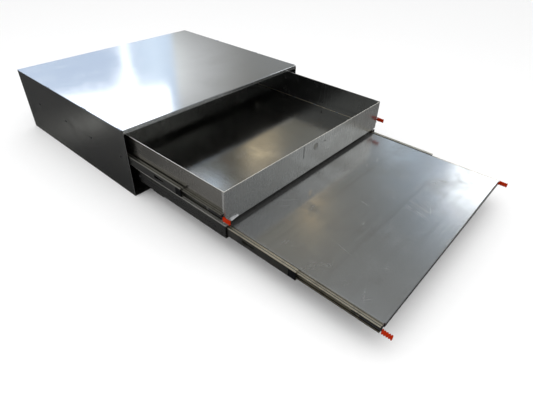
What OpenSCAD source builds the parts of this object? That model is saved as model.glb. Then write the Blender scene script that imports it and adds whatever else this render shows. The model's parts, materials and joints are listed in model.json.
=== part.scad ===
// Sheet-steel storage drawer with a slide-out table, on four locking ball-bearing slides.
// Origin at the centre of the housing's underside, +Z up. Drawer and table open towards -Y.

/* [Housing] */
// Width of the housing
body_w = 900; // [800:10:1100]
// Depth of the housing
body_d = 790; // [770:10:900]
// Height of the housing
body_h = 260; // [255:1:320]
// Thickness of the housing sheet
sheet = 2; // [1.5:0.5:2.5]
// Height of the lip turned down at the front of the top
lip_h = 15.5; // [10:0.5:20]

/* [Drawer] */
// How far the drawer stands out of the housing
drawer_out = 450; // [300:10:600]
// Depth of the tray
tray_d = 740; // [720:5:745]
// Thickness of the tray sheet
tray_sheet = 1.5; // [1:0.5:2]
// Height of the tray's upper edge above the base
tray_top = 231.7; // [200:0.1:235]
// Height of the tray floor's underside above the base
floor_z = 120; // [119:0.5:125]
// Diameter of the lock hole in the drawer front
lock_hole_d = 22; // [16:1:26]

/* [Carriage] */
// Height of the carriage's underside above the base
carriage_z = 60; // [58:1:60]
// Height of the carriage side walls
carriage_h = 49; // [49:1:50]

/* [Table] */
// How far the table stands out of the carriage
table_out = 510; // [400:10:600]
// Depth of the table
table_d = 730; // [700:5:735]
// Height of the table's upper face above the base
table_top_z = 100.5; // [99:0.5:102]
// Height of the table's folded front edge
table_lip = 18; // [12:1:25]

/* [Slides] */
// Length of every slide member
slide_len = 700; // [690:1:700]
// Thickness of a closed slide
slide_w = 20; // [20:0.5:21]
// Height of the outer member
slide_h = 44.6; // [44:0.1:44.8]
// Diameter of the bearing balls
ball_d = 4; // [3.8:0.1:4]

/* [Hidden] */

$fn = 32;

front_y = -body_d / 2;
tray_front_y = front_y - drawer_out;
table_front_y = tray_front_y - table_out;

// Clearance between pieces that only lie beside each other
gap = 0.3;

// Outer radius of the folds in the thicker sheet
fold_r = 3;

// Slide section, u across the slide from the outer member's mounting face, v up from its middle
outer_t = 1.8;
curl_end = 25;
middle_u = 3.4;
middle_t = 1.8;
middle_half = 16.3;
middle_depth = 12.6;
inner_t = 1.8;
inner_half = 10.3;
inner_depth = 12.5;
outer_ball_u = 9;
inner_ball_u = 12.5;
cage_t = 0.7;
outer_ball_v = (slide_h / 2 - outer_t + middle_half) / 2;
inner_ball_v = (middle_half - middle_t + inner_half) / 2;
bend_r = 2.6;
slide_setback = 10;

// Places of the slides, where each outer member's mounting face is and its middle height
side_inner = body_w / 2 - sheet;
drawer_slide_z = 146;
tray_half = side_inner - slide_w;
carriage_inner = tray_half - sheet;
table_slide_z = carriage_z + sheet + slide_h / 2 + 0.1;
table_half = carriage_inner - slide_w;
drawer_middle_out = 271;
table_middle_out = 258;

// Screw places along a slide, from its front end: a multiple of the 32 mm cabinet grid
slide_holes = [37, 229, 421, 645];
inner_holes = [43, 267, 491, 651];
outer_access_r = 5;
middle_holes = [260, 430, 600];
middle_hole_r = 4;
inner_access = [118, 155, 355, 580];
inner_access_r = 3;
screw_r = 2.5;
screw_hole_r = screw_r + 0.25;
screw_head_r = 4.75;
screw_head_h = 2.6;

// Lever
lever_offset = 6.5;
lever_pivot_back = 62;
lever_pivot_v = -2;
lever_grip_front = -31;
lever_grip_back = -3;
lever_grip_h = 20;
pivot_r = 2.5;

module sheet_box(low, high) {
    translate(low)
        cube(high - low);
}

module along_x(r, len) {
    rotate([0, 90, 0])
        cylinder(r = r, h = len);
}

module along_y(r, len) {
    rotate([-90, 0, 0])
        cylinder(r = r, h = len);
}

// A quarter ring, the section of a bend whose outer corner is at the origin
module bend(r, t) {
    translate([r, r])
        intersection() {
            difference() {
                circle(r = r);
                circle(r = r - t);
            }
            translate([-r, -r])
                square(r);
        }
}

// Section of a folded channel: web on Y, flanges running to X = depth
module channel(depth, half, t, r) {
    translate([0, r - half])
        square([t, 2 * (half - r)]);
    for (side = [0, 1])
        mirror([0, side])
            translate([0, -half]) {
                bend(r, t);
                translate([r, 0])
                    square([depth - r, t]);
            }
}

// Runs a section back along Y from 0, its X staying X and its Y becoming Z
module run_back(len) {
    translate([0, len, 0])
        rotate([90, 0, 0])
            linear_extrude(height = len)
                children();
}

// Runs a section along X about the middle, its X becoming Y and its Y becoming Z
module run_across(len) {
    translate([-len / 2, 0, 0])
        rotate([90, 0, 90])
            linear_extrude(height = len)
                children();
}

// ---- Housing ----

tab_places = [0, 232, 503];
tab_len = 24;
notch_len = 33;
notch_depth = 5;
lip_return = 12;
flange_setback = 15;
mount_x = 350;
mount_y = 300;
mount_r = 4.5;
flange = 20;
rivet_x = [-380, -190, 0, 190, 380];
rivet_r = 2.4;
rivet_head_r = 4.6;
rivet_z = 12;

module cabinet_top() {
    color("gainsboro")
    difference() {
        union() {
            sheet_box([-body_w / 2, front_y + fold_r, body_h - sheet], [body_w / 2, -front_y, body_h]);
            translate([0, front_y, body_h - lip_h / 2])
                run_across(2 * (side_inner - gap))
                    channel(lip_return, lip_h / 2, sheet, fold_r);
        }
        for (side = [-1, 1], place = tab_places)
            translate([side * body_w / 2, front_y + place + notch_len / 2 - 1, body_h - sheet / 2])
                cube([2 * (sheet + 0.4), notch_len + 2, sheet + 2], center = true);
    }
}

module cabinet_side() {
    color("dimgray")
    difference() {
        union() {
            sheet_box([-body_w / 2, front_y, 0], [-side_inner, -front_y, body_h - sheet]);
            for (place = tab_places)
                sheet_box([-body_w / 2, front_y + place + notch_len - tab_len - 1, body_h - sheet - 1],
                          [-side_inner, front_y + place + notch_len - 1, body_h]);
        }
        // Relief in front of each tab
        for (place = tab_places)
            sheet_box([-body_w / 2 - 1, front_y + place - 2, body_h - sheet - notch_depth],
                      [-side_inner + 1, front_y + place + notch_len - tab_len - 1, body_h]);
        for (place = slide_holes)
            translate([-body_w / 2 - 1, front_y + slide_setback + place, drawer_slide_z])
                along_x(screw_hole_r, sheet + 2);
    }
}

module cabinet_left_side() {
    cabinet_side();
}

module cabinet_right_side() {
    mirror([1, 0, 0])
        cabinet_side();
}

module cabinet_bottom() {
    color("gray")
    difference() {
        union() {
            sheet_box([-side_inner, front_y, 0], [side_inner, -front_y - sheet, sheet]);
            for (side = [0, 1])
                mirror([side, 0, 0])
                    sheet_box([-side_inner, front_y + flange_setback, 0], [-side_inner + sheet, -front_y - sheet, flange]);
            sheet_box([-side_inner, -front_y - 2 * sheet, 0], [side_inner, -front_y - sheet, flange]);
        }
        for (x = [-mount_x, mount_x], y = [-mount_y, mount_y])
            translate([x, y, -1])
                cylinder(r = mount_r, h = sheet + 2);
        back_rivet_holes();
    }
}

module back_rivet_holes() {
    for (x = rivet_x)
        translate([x, -front_y - 3 * sheet, rivet_z])
            along_y(rivet_r + 0.1, 4 * sheet);
}

module cabinet_back() {
    color("gray")
    difference() {
        union() {
            sheet_box([-side_inner, -front_y - sheet, 0], [side_inner, -front_y, body_h - sheet]);
            sheet_box([-side_inner, -front_y - flange, body_h - 2 * sheet],
                      [side_inner, -front_y, body_h - sheet]);
        }
        back_rivet_holes();
    }
}

module back_rivets() {
    color("silver")
    for (x = rivet_x)
        translate([x, -front_y, rivet_z]) {
            intersection() {
                translate([0, -5.6, 0])
                    sphere(r = 7.2);
                along_y(rivet_head_r, 3);
            }
            translate([0, -2 * sheet - 1, 0])
                along_y(rivet_r, 2 * sheet + 1);
        }
}

// ---- Slides ----
// Sections are drawn with u along X and v along Y, then stood up so the slide runs along Y.

// The end of a flange rolled round the balls, drawn about the ball's centre
module race_curl(r, t) {
    difference() {
        circle(r = r);
        circle(r = r - t);
        translate([-2 * r, -2 * r])
            square([2 * r, 4 * r]);
        rotate([0, 0, curl_end])
            translate([-2 * r, -2 * r])
                square([4 * r, 2 * r]);
    }
}

module outer_section() {
    channel(outer_ball_u, slide_h / 2, outer_t, bend_r);
    for (side = [0, 1])
        mirror([0, side])
            translate([outer_ball_u, outer_ball_v])
                race_curl(slide_h / 2 - outer_ball_v, outer_t);
}

module middle_section() {
    translate([middle_u, 0])
        channel(middle_depth, middle_half, middle_t, bend_r);
}

module inner_section() {
    translate([slide_w, 0])
        mirror([1, 0])
            channel(inner_depth, inner_half, inner_t, bend_r);
}

module outer_member(holes = slide_holes) {
    color("darkgray")
    difference() {
        run_back(slide_len)
            outer_section();
        for (place = holes)
            translate([-1, place, 0])
                along_x(screw_hole_r, outer_t + 2);
        // Access openings between the screws
        for (i = [0:len(holes) - 2])
            translate([-1, (holes[i] + holes[i + 1]) / 2, 0])
                along_x(outer_access_r, outer_t + 2);
    }
}

// Stretch of each pair's middle member, from its front end, that the lever slot takes up
drawer_lever_slot = [86, 134];
table_lever_slot = [149, 197];
slot_r = 2.6;
slot_end_len = 20;
slot_end_h = 10;
slot_end_drop = 4;
end_block_len = 25;
end_block_proud = 1.2;
block_groove_w = 3;
block_groove_margin = 4;
block_grooves = [-8, 0, 8];

module middle_member(slot) {
    color("lightgray")
    difference() {
        run_back(slide_len)
            middle_section();
        // The web is cut away round the end block
        translate([middle_u - 1, -1, -middle_half + middle_t + 1])
            cube([middle_t + 1.01, end_block_len + 1, 2 * (middle_half - middle_t - 1)]);
        // Slot that the lock lever reaches through
        translate([middle_u - 1, 0, 1])
            hull()
                for (y = [slot[0] + slot_r, slot[1] - 2 * slot_r])
                    translate([0, y, 0])
                        along_x(slot_r, middle_t + 2);
        translate([middle_u - 1, slot[1] - slot_end_len, -slot_end_drop])
            cube([middle_t + 2, slot_end_len, slot_end_h]);
        for (place = middle_holes)
            translate([middle_u - 1, place, 0])
                along_x(middle_hole_r, middle_t + 2);
    }
}

module end_block() {
    color("#1c1c1c")
    difference() {
        translate([middle_u - end_block_proud, gap, -middle_half + middle_t + 1 + gap])
            cube([middle_t + 2 * end_block_proud + 0.2, end_block_len - 2 * gap,
                  2 * (middle_half - middle_t - 1 - gap)]);
        // Relief grooves in the outer face
        for (v = block_grooves)
            translate([middle_u - end_block_proud - 1, block_groove_margin, v - block_groove_w / 2])
                cube([2, end_block_len - 2 * block_groove_margin, block_groove_w]);
    }
}

module inner_member() {
    color("#77756f")
    difference() {
        run_back(slide_len)
            inner_section();
        for (place = inner_holes)
            translate([slide_w - inner_t - 1, place, 0])
                along_x(screw_hole_r, inner_t + 2);
        for (place = inner_access)
            translate([slide_w - inner_t - 1, place, 0])
                along_x(inner_access_r, inner_t + 2);
    }
}

// Balls run in two rows; a cage is a thin U strip with a pocket for each ball
ball_pitch = 24;
ball_count = 7;
cage_margin = 4;
cage_len = ball_pitch * ball_count + 2 * cage_margin;
outer_cage_tip_u = 12.2;
inner_cage_tip_u = 15.4;

module ball_rows(u, v, front) {
    for (row = [-1, 1], i = [0:ball_count - 1])
        translate([u, front + cage_margin + ball_pitch * (i + 0.5), row * v])
            sphere(d = ball_d);
}

module cage(web_u, tip_u, ball_u, ball_v, front) {
    color("#b8a46a")
    difference() {
        translate([0, front, 0])
            run_back(cage_len)
                difference() {
                    translate([web_u, -ball_v - cage_t / 2])
                        square([tip_u - web_u, 2 * ball_v + cage_t]);
                    translate([web_u + cage_t, -ball_v + cage_t / 2])
                        square([tip_u, 2 * ball_v - cage_t]);
                }
        for (i = [0:ball_count - 1])
            translate([ball_u, front + cage_margin + ball_pitch * (i + 0.5), -ball_v - 2])
                cylinder(d = ball_d + 0.2, h = 2 * ball_v + 4);
    }
}

module outer_cage(front) {
    cage(outer_t + 0.4, outer_cage_tip_u, outer_ball_u, outer_ball_v, front);
}

module inner_cage(front) {
    cage(middle_u + middle_t + 0.5, inner_cage_tip_u, inner_ball_u, inner_ball_v, front);
}

// Fronts of the moving members, measured in a slide whose outer member starts at 0
drawer_inner_front = -drawer_out - slide_setback + 4;
drawer_middle_front = -drawer_middle_out - slide_setback;
table_inner_front = -table_out - slide_setback + 4;
table_middle_front = -table_middle_out - slide_setback;

// A cage stays midway in the stretch that its two members share
function cage_front(a, b) = (a + b) / 2 + slide_len / 2 - cage_len / 2;

// Puts a left-hand slide in place; the right-hand one is the same slide turned over
module at_drawer_slide(side) {
    translate([0, front_y + slide_setback, drawer_slide_z])
        rotate([0, side > 0 ? 180 : 0, 0])
            translate([-side_inner, 0, 0])
                children();
}

module at_table_slide(side) {
    translate([0, tray_front_y + slide_setback, table_slide_z])
        rotate([0, side > 0 ? 180 : 0, 0])
            translate([-carriage_inner, 0, 0])
                children();
}

module shifted(front) {
    translate([0, front, 0])
        children();
}

module drawer_slide_outer_left() {
    at_drawer_slide(-1)
        outer_member();
}

module drawer_slide_outer_right() {
    at_drawer_slide(1)
        outer_member();
}

module table_slide_outer_left() {
    at_table_slide(-1)
        outer_member();
}

module table_slide_outer_right() {
    at_table_slide(1)
        outer_member();
}

module drawer_slide_middle_left() {
    at_drawer_slide(-1)
        shifted(drawer_middle_front)
            middle_member(drawer_lever_slot);
}

module drawer_slide_middle_right() {
    at_drawer_slide(1)
        shifted(drawer_middle_front)
            middle_member(drawer_lever_slot);
}

module table_slide_middle_left() {
    at_table_slide(-1)
        shifted(table_middle_front)
            middle_member(table_lever_slot);
}

module table_slide_middle_right() {
    at_table_slide(1)
        shifted(table_middle_front)
            middle_member(table_lever_slot);
}

module drawer_slide_end_blocks() {
    for (side = [-1, 1])
        at_drawer_slide(side)
            shifted(drawer_middle_front)
                end_block();
}

module table_slide_end_blocks() {
    for (side = [-1, 1])
        at_table_slide(side)
            shifted(table_middle_front)
                end_block();
}

module drawer_slide_inner_left() {
    at_drawer_slide(-1)
        shifted(drawer_inner_front)
            inner_member();
}

module drawer_slide_inner_right() {
    at_drawer_slide(1)
        shifted(drawer_inner_front)
            inner_member();
}

module table_slide_inner_left() {
    at_table_slide(-1)
        shifted(table_inner_front)
            inner_member();
}

module table_slide_inner_right() {
    at_table_slide(1)
        shifted(table_inner_front)
            inner_member();
}

module drawer_outer_cage_left() {
    at_drawer_slide(-1)
        outer_cage(cage_front(0, drawer_middle_front));
}

module drawer_outer_cage_right() {
    at_drawer_slide(1)
        outer_cage(cage_front(0, drawer_middle_front));
}

module drawer_inner_cage_left() {
    at_drawer_slide(-1)
        inner_cage(cage_front(drawer_middle_front, drawer_inner_front));
}

module drawer_inner_cage_right() {
    at_drawer_slide(1)
        inner_cage(cage_front(drawer_middle_front, drawer_inner_front));
}

module table_outer_cage_left() {
    at_table_slide(-1)
        outer_cage(cage_front(0, table_middle_front));
}

module table_outer_cage_right() {
    at_table_slide(1)
        outer_cage(cage_front(0, table_middle_front));
}

module table_inner_cage_left() {
    at_table_slide(-1)
        inner_cage(cage_front(table_middle_front, table_inner_front));
}

module table_inner_cage_right() {
    at_table_slide(1)
        inner_cage(cage_front(table_middle_front, table_inner_front));
}

module drawer_outer_balls() {
    color("silver")
    for (side = [-1, 1])
        at_drawer_slide(side)
            ball_rows(outer_ball_u, outer_ball_v, cage_front(0, drawer_middle_front));
}

module drawer_inner_balls() {
    color("silver")
    for (side = [-1, 1])
        at_drawer_slide(side)
            ball_rows(inner_ball_u, inner_ball_v, cage_front(drawer_middle_front, drawer_inner_front));
}

module table_outer_balls() {
    color("silver")
    for (side = [-1, 1])
        at_table_slide(side)
            ball_rows(outer_ball_u, outer_ball_v, cage_front(0, table_middle_front));
}

module table_inner_balls() {
    color("silver")
    for (side = [-1, 1])
        at_table_slide(side)
            ball_rows(inner_ball_u, inner_ball_v, cage_front(table_middle_front, table_inner_front));
}

// ---- Screws ----

// A button-head screw, head towards -X, shank running to +X from the sheet's outer face
module button_screw(shank) {
    difference() {
        intersection() {
            translate([screw_head_r * 0.55, 0, 0])
                sphere(r = screw_head_r * 1.12);
            translate([-screw_head_h, 0, 0])
                along_x(screw_head_r, screw_head_h);
        }
        translate([-screw_head_h - 1, 0, 0])
            rotate([0, 90, 0])
                cylinder(r = 1.8, h = 2.6, $fn = 6);
    }
    along_x(screw_r, shank);
}

module housing_slide_screws() {
    color("#2a2a2a")
    for (side = [-1, 1])
        at_drawer_slide(side)
            for (place = slide_holes)
                translate([-sheet, place, 0])
                    button_screw(sheet + outer_t);
}

module carriage_slide_screws() {
    color("#2a2a2a")
    for (side = [-1, 1])
        at_table_slide(side)
            for (place = slide_holes)
                translate([-sheet, place, 0])
                    button_screw(sheet + outer_t);
}

module tray_slide_screws() {
    color("#2a2a2a")
    for (side = [-1, 1])
        at_drawer_slide(side)
            for (place = inner_holes)
                translate([slide_w + tray_sheet, drawer_inner_front + place, 0])
                    rotate([0, 0, 180])
                        button_screw(tray_sheet + inner_t);
}

module table_slide_screws() {
    color("#2a2a2a")
    for (side = [-1, 1])
        at_table_slide(side)
            for (place = inner_holes)
                translate([slide_w + sheet, table_inner_front + place, 0])
                    rotate([0, 0, 180])
                        button_screw(sheet + inner_t);
}

// ---- Tray ----

skirt_z = floor_z - 4;
corner_return = 10;
corner_r = 3;
tongue_len = 14;

module tray_wall() {
    color("#7d766a")
    difference() {
        union() {
            sheet_box([-tray_half, tray_front_y + corner_return + gap, skirt_z],
                      [-tray_half + tray_sheet, tray_front_y + tray_d, tray_top]);
            // Joggled tongue behind the front's return
            sheet_box([-tray_half + tray_sheet, tray_front_y + corner_r + 1, floor_z + tray_sheet],
                      [-tray_half + 2 * tray_sheet, tray_front_y + corner_return + tongue_len, tray_top - 1]);
        }
        for (place = inner_holes)
            translate([-tray_half - 1, front_y + slide_setback + drawer_inner_front + place, drawer_slide_z])
                along_x(screw_hole_r, 2 * tray_sheet + 2);
    }
}

module tray_left_wall() {
    tray_wall();
}

module tray_right_wall() {
    mirror([1, 0, 0])
        tray_wall();
}

module tray_floor() {
    color("#8a857b")
    difference() {
        sheet_box([-tray_half + tray_sheet, tray_front_y + tray_sheet, floor_z],
                  [tray_half - tray_sheet, tray_front_y + tray_d - tray_sheet, floor_z + tray_sheet]);
        // The front corners are cut back clear of the front's bends
        for (side = [-1, 1])
            translate([side * (tray_half - tray_sheet), tray_front_y + tray_sheet, floor_z])
                rotate([0, 0, 45])
                    cube([2 * sheet, 2 * sheet, 4 * tray_sheet], center = true);
    }
}

lock_z = 201;
small_hole_x = 55;
small_hole_z = 202.7;
small_hole_r = 2.2;

module tray_front() {
    color("#5f6062")
    difference() {
        translate([0, tray_front_y, skirt_z])
            linear_extrude(height = tray_top - skirt_z)
                rotate([0, 0, 90])
                    channel(corner_return, tray_half, tray_sheet, corner_r);
        translate([0, tray_front_y - 1, lock_z])
            along_y(lock_hole_d / 2, tray_sheet + 2);
        translate([small_hole_x, tray_front_y - 1, small_hole_z])
            along_y(small_hole_r, tray_sheet + 2);
    }
}

module tray_back() {
    color("#5f6062")
    sheet_box([-tray_half + tray_sheet, tray_front_y + tray_d - tray_sheet, skirt_z],
              [tray_half - tray_sheet, tray_front_y + tray_d, tray_top]);
}

// ---- Carriage under the tray ----

module carriage_wall() {
    color("#4b4a47")
    difference() {
        translate([-tray_half, tray_front_y, carriage_z + carriage_h / 2])
            run_back(tray_d)
                channel(flange, carriage_h / 2, sheet, fold_r);
        for (place = slide_holes)
            translate([-tray_half - 1, tray_front_y + slide_setback + place, table_slide_z])
                along_x(screw_hole_r, sheet + 2);
    }
}

module carriage_left() {
    carriage_wall();
}

module carriage_right() {
    mirror([1, 0, 0])
        carriage_wall();
}

module carriage_back() {
    color("#4b4a47")
    sheet_box([-carriage_inner, tray_front_y + tray_d - sheet, carriage_z + sheet],
              [carriage_inner, tray_front_y + tray_d, carriage_z + carriage_h - sheet]);
}

bearer_half = tray_half - 4;
bearer_w = 40;
bearer_places = [70, 580];

// A channel rail that carries the tray floor on the carriage's upper flanges
module bearer(y) {
    low = carriage_z + carriage_h;
    color("#4b4a47")
    difference() {
        sheet_box([-bearer_half, y, low], [bearer_half, y + bearer_w, floor_z]);
        sheet_box([-bearer_half - 1, y + sheet, low - 1],
                  [bearer_half + 1, y + bearer_w - sheet, floor_z - sheet]);
    }
}

module carriage_front_bearer() {
    bearer(tray_front_y + bearer_places[0]);
}

module carriage_rear_bearer() {
    bearer(tray_front_y + bearer_places[1]);
}

strap_w = 60;
strap_places = [300, 620];

module carriage_bottom_straps() {
    color("#4b4a47")
    for (y = strap_places)
        sheet_box([-tray_half, tray_front_y + y, carriage_z - sheet],
                  [tray_half, tray_front_y + y + strap_w, carriage_z]);
}

// ---- Table ----

table_skirt = 30;
lip_fold = 14;
rib_inset = 12;
rib_top = 18;
rib_h = 22;
rib_foot = 16;
rib_places = [210, 480];

module table_top() {
    color("#7b8187")
    difference() {
        union() {
            translate([0, table_front_y + fold_r, table_top_z])
                run_back(table_d - fold_r)
                    rotate([0, 0, -90])
                        channel(table_skirt, table_half, sheet, fold_r);
            translate([0, table_front_y, table_top_z - table_lip / 2])
                run_across(2 * (table_half - fold_r - 1))
                    channel(lip_fold, table_lip / 2, sheet, fold_r);
        }
        for (place = inner_holes, side = [0, 1])
            mirror([side, 0, 0])
                translate([-table_half - 1, tray_front_y + slide_setback + table_inner_front + place,
                           table_slide_z])
                    along_x(screw_hole_r, sheet + 2);
    }
}

// A Z-shaped rib welded under the table
module stiffener(y) {
    half = table_half - rib_inset;
    high = table_top_z - sheet;
    web = y + rib_top - sheet;
    color("#4b4a47")
    union() {
        sheet_box([-half, y, high - sheet], [half, y + rib_top, high]);
        sheet_box([-half, web, high - rib_h], [half, y + rib_top, high]);
        sheet_box([-half, web, high - rib_h], [half, y + rib_top + rib_foot, high - rib_h + sheet]);
    }
}

module table_front_stiffener() {
    stiffener(table_front_y + rib_places[0]);
}

module table_rear_stiffener() {
    stiffener(table_front_y + rib_places[1]);
}

// ---- Locking levers ----
// In the slide's own frame, measured from the inner member's front end at 0

lever_t = 2;
lever_u = 13;
grip_t = 6;
arm_low = -7;
arm_h = 6;
tail_len = 20;

module lever_arm() {
    color("#232323")
    difference() {
        union() {
            translate([lever_u, lever_grip_back - 7, arm_low])
                cube([lever_t, lever_pivot_back - lever_grip_back + 7, arm_h]);
            translate([lever_u, lever_pivot_back, lever_pivot_v])
                along_x(5.5, lever_t);
            translate([lever_u, lever_pivot_back, lever_pivot_v - 2])
                cube([lever_t, tail_len, 4]);
        }
        translate([lever_u - 1, lever_pivot_back, lever_pivot_v])
            along_x(pivot_r + 0.05, lever_t + 2);
    }
}

// The moulded grip has four shallow finger ridges and a socket for the arm
module lever_grip() {
    color("#c83c14")
    difference() {
        union() {
            translate([lever_u - (grip_t - lever_t) / 2, 0, -lever_offset])
                hull() {
                    for (z = [-1, 1])
                        translate([0, lever_grip_back - 4, z * (lever_grip_h / 2 - 4)])
                            along_x(4, grip_t);
                    for (z = [-1, 1])
                        translate([0, lever_grip_front + 3.5, z * (lever_grip_h / 2 - 5)])
                            along_x(3.5, grip_t);
                }
            for (i = [0:3])
                translate([lever_u - grip_t / 2, lever_grip_back - 8 - 5 * i, -lever_offset - 7])
                    cube([grip_t + lever_t, 1.6, 14]);
        }
        translate([lever_u - 0.05, lever_grip_back - 7.1, arm_low - 0.05])
            cube([lever_t + 0.1, 8, arm_h + 0.1]);
    }
}

// Shouldered rivet: head, shank and the collar that holds the lever off the member
module lever_pivot() {
    color("silver")
    translate([0, lever_pivot_back, lever_pivot_v]) {
        translate([lever_u - 0.8, 0, 0])
            along_x(4, 0.7);
        translate([lever_u - 0.8, 0, 0])
            along_x(pivot_r, slide_w - lever_u + 0.8 - inner_t);
        translate([lever_u + lever_t + 0.1, 0, 0])
            along_x(4, slide_w - inner_t - lever_u - lever_t - 0.1);
    }
}

module at_drawer_lever(side) {
    at_drawer_slide(side)
        shifted(drawer_inner_front)
            children();
}

module at_table_lever(side) {
    at_table_slide(side)
        shifted(table_inner_front)
            children();
}

module drawer_lever_left() {
    at_drawer_lever(-1)
        lever_arm();
}

module drawer_lever_right() {
    at_drawer_lever(1)
        lever_arm();
}

module table_lever_left() {
    at_table_lever(-1)
        lever_arm();
}

module table_lever_right() {
    at_table_lever(1)
        lever_arm();
}

module drawer_lever_grip_left() {
    at_drawer_lever(-1)
        lever_grip();
}

module drawer_lever_grip_right() {
    at_drawer_lever(1)
        lever_grip();
}

module table_lever_grip_left() {
    at_table_lever(-1)
        lever_grip();
}

module table_lever_grip_right() {
    at_table_lever(1)
        lever_grip();
}

module drawer_lever_pivots() {
    for (side = [-1, 1])
        at_drawer_lever(side)
            lever_pivot();
}

module table_lever_pivots() {
    for (side = [-1, 1])
        at_table_lever(side)
            lever_pivot();
}

cabinet_top();
cabinet_left_side();
cabinet_right_side();
cabinet_bottom();
cabinet_back();
back_rivets();
drawer_slide_outer_left();
drawer_slide_outer_right();
housing_slide_screws();
tray_floor();
tray_front();
tray_left_wall();
tray_right_wall();
tray_back();
tray_slide_screws();
carriage_left();
carriage_right();
carriage_back();
carriage_front_bearer();
carriage_rear_bearer();
carriage_bottom_straps();
drawer_slide_inner_left();
drawer_slide_inner_right();
table_slide_outer_left();
table_slide_outer_right();
carriage_slide_screws();
drawer_slide_middle_left();
drawer_slide_middle_right();
drawer_slide_end_blocks();
drawer_outer_cage_left();
drawer_outer_cage_right();
drawer_outer_balls();
drawer_inner_cage_left();
drawer_inner_cage_right();
drawer_inner_balls();
table_top();
table_front_stiffener();
table_rear_stiffener();
table_slide_screws();
table_slide_inner_left();
table_slide_inner_right();
table_slide_middle_left();
table_slide_middle_right();
table_slide_end_blocks();
table_outer_cage_left();
table_outer_cage_right();
table_outer_balls();
table_inner_cage_left();
table_inner_cage_right();
table_inner_balls();
drawer_lever_left();
drawer_lever_right();
table_lever_left();
table_lever_right();
drawer_lever_grip_left();
drawer_lever_grip_right();
table_lever_grip_left();
table_lever_grip_right();
drawer_lever_pivots();
table_lever_pivots();
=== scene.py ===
"""Looks of a sheet-steel storage drawer with a slide-out table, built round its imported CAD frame.

Units are metres. Left is -X and the drawer opens towards -Y.
"""

import json
import logging
import math
from dataclasses import dataclass, field
from enum import Enum
from typing import Any, Iterable

import bmesh
import bpy
from mathutils import Matrix, Vector


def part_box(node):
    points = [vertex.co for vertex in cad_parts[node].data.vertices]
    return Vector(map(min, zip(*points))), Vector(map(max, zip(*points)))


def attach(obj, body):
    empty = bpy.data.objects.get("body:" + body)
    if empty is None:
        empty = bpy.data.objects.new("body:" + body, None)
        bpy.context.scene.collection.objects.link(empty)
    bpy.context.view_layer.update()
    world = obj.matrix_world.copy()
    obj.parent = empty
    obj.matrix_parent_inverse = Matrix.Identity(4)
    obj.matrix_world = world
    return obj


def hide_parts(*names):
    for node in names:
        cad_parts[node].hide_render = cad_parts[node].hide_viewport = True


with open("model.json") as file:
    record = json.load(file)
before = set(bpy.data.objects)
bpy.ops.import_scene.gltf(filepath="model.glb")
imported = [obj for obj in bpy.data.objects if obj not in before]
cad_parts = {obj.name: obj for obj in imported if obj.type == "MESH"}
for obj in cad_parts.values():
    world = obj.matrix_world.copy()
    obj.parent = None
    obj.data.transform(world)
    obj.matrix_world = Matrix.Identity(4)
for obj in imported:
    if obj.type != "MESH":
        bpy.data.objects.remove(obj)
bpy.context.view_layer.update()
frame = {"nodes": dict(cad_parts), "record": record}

MM = 0.001
MERGE_DISTANCE = 1e-7
FLAT_ANGLE = 40.0
UP = Vector((0, 0, 1))
WHITE = (1.0, 1.0, 1.0)
LOG = logging.getLogger("storage_drawer")
Triple = tuple[float, float, float]
Colour = Triple


class Side(Enum):
    """Which side of the object a piece is on, as the sign of its X."""

    LEFT = -1
    RIGHT = 1

    @property
    def word(self) -> str:
        """The side's name as the CAD nodes spell it."""
        return self.name.lower()

    def outer(self, low: Vector, high: Vector) -> float:
        """X of a box's face on this side, from its lowest and highest corners."""
        return (high if self is Side.RIGHT else low).x


class Along(Enum):
    """Which way a sheet was rolled or faces, as an index of the axis."""

    X = 0
    Y = 1
    Z = 2


# ---------------------------------------------------------------- shader maths


class Value:
    """A shader socket that can be used in Python sums; each sum adds its Math node."""

    def __init__(self, tree: bpy.types.NodeTree, socket: bpy.types.NodeSocket) -> None:
        """Wraps a socket.

        Args:
            tree: The node tree that the socket is in.
            socket: An output socket that carries a number.
        """
        self.tree = tree
        self.socket = socket

    def maths(self, operation: str, *others: Any, clamp: bool = False) -> "Value":
        """Adds one Math node fed by this value and others.

        Args:
            operation: The Math node's operation.
            others: Values or numbers for its further inputs.
            clamp: Whether the result is held between 0 and 1.

        Returns:
            The node's result.
        """
        node = self.tree.nodes.new("ShaderNodeMath")
        node.operation = operation
        node.use_clamp = clamp
        for slot, item in zip(node.inputs, (self, *others)):
            if isinstance(item, Value):
                self.tree.links.new(item.socket, slot)
            else:
                slot.default_value = item
        return Value(self.tree, node.outputs[0])

    def __add__(self, other: Any) -> "Value":
        """self + other."""
        return self.maths("ADD", other)

    __radd__ = __add__

    def __sub__(self, other: Any) -> "Value":
        """self - other."""
        return self.maths("SUBTRACT", other)

    def __rsub__(self, other: float) -> "Value":
        """other - self."""
        return self.maths("MULTIPLY", -1.0) + other

    def __mul__(self, other: Any) -> "Value":
        """self * other."""
        return self.maths("MULTIPLY", other)

    __rmul__ = __mul__

    def __truediv__(self, other: Any) -> "Value":
        """self / other."""
        return self.maths("DIVIDE", other)

    def step(self, low: float, high: float) -> "Value":
        """A smooth step from 0 at low to 1 at high; low may be the larger.

        Args:
            low: Where the step starts.
            high: Where it ends.

        Returns:
            The step, between 0 and 1.
        """
        ramp = ((self - low) / (high - low)).maths("ADD", 0.0, clamp=True)
        return ramp * ramp * (3.0 - 2.0 * ramp)

    def larger(self, other: Any) -> "Value":
        """The larger of two values."""
        return self.maths("MAXIMUM", other)

    def distance(self, centre: float) -> "Value":
        """How far the value is from a centre."""
        return (self - centre).maths("ABSOLUTE")


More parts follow.
